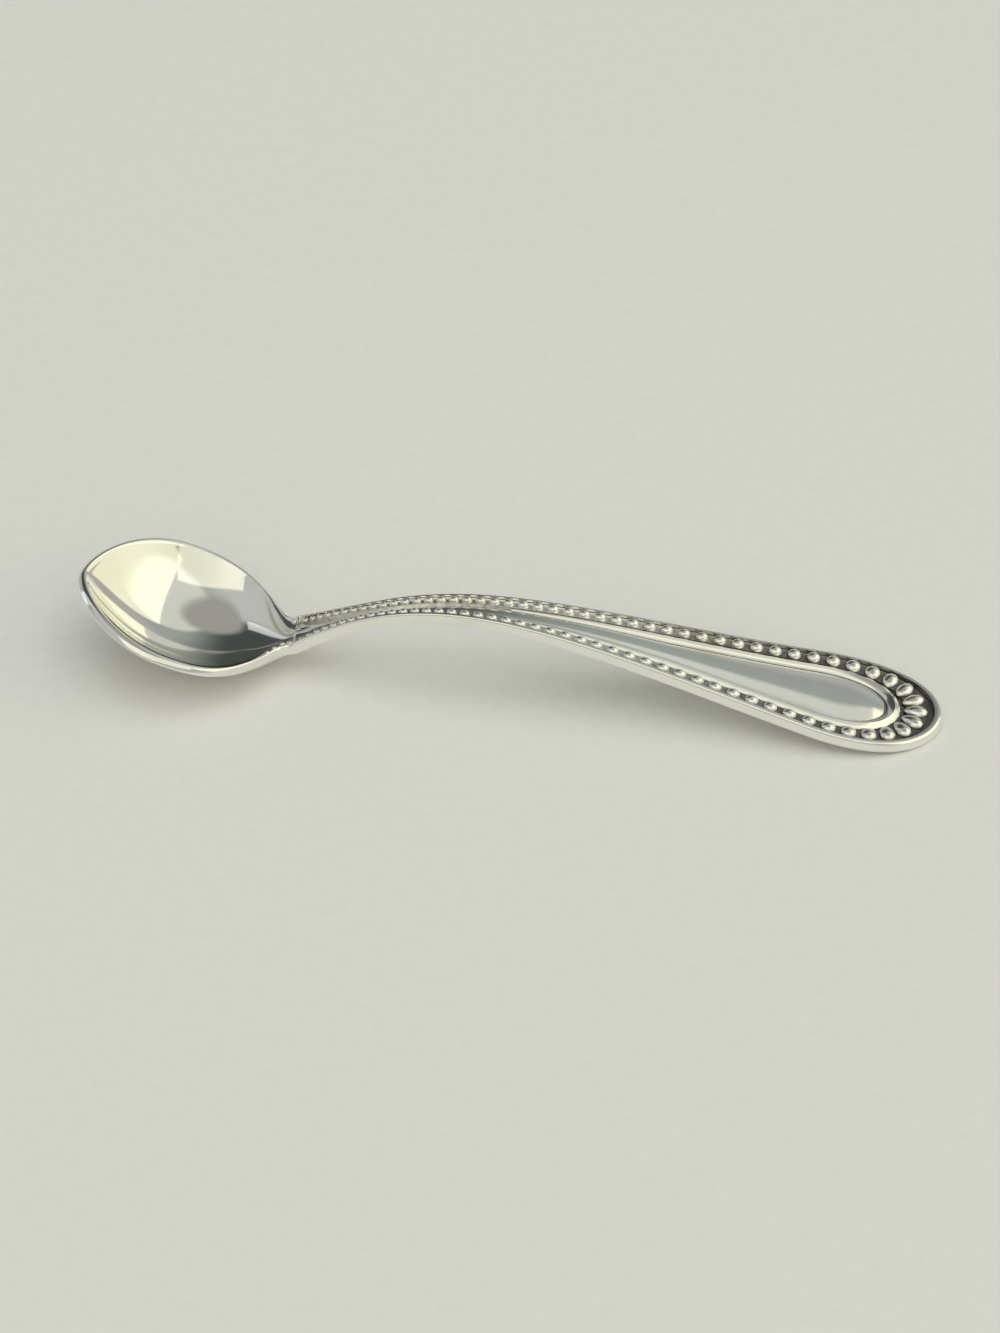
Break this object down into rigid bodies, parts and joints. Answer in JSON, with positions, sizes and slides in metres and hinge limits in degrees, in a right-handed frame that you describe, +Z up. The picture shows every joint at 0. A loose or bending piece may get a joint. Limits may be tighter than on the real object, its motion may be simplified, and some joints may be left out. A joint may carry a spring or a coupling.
{
  "type": "salt spoon",
  "caption": "Small silver salt spoon: an egg-shaped bowl on an arched handle that widens to a rounded end, with a graduated bead border, an inner thread and a domed panel.",
  "frame": {"origin": "on the table under the middle of the spoon's length, where it lies bowl up on the bowl and the handle's end", "axes": "+X along the spoon from the bowl to the handle's end, +Z up out of the bowl, Y across, with the spoon symmetric about y = 0"},
  "size_m": [0.065, 0.0132, 0.0073],
  "materials": {
    "bowl_silver": "polished silver, mirror-bright inside, with fine wear",
    "handle_silver": "polished silver with fine wear, darkened along the border",
    "edge_band_silver": "polished silver, worn bright and soft at the edge",
    "bead_strip_silver": "polished bead tops, blackened between the beads",
    "thread_silver": "polished silver, worn bright on top"
  },
  "bodies": {
    "root": {"bowl": "bowl_silver", "handle": "handle_silver", "edge_band": "edge_band_silver", "bead_strip": "bead_strip_silver", "thread": "thread_silver"}
  },
  "joints": []
}
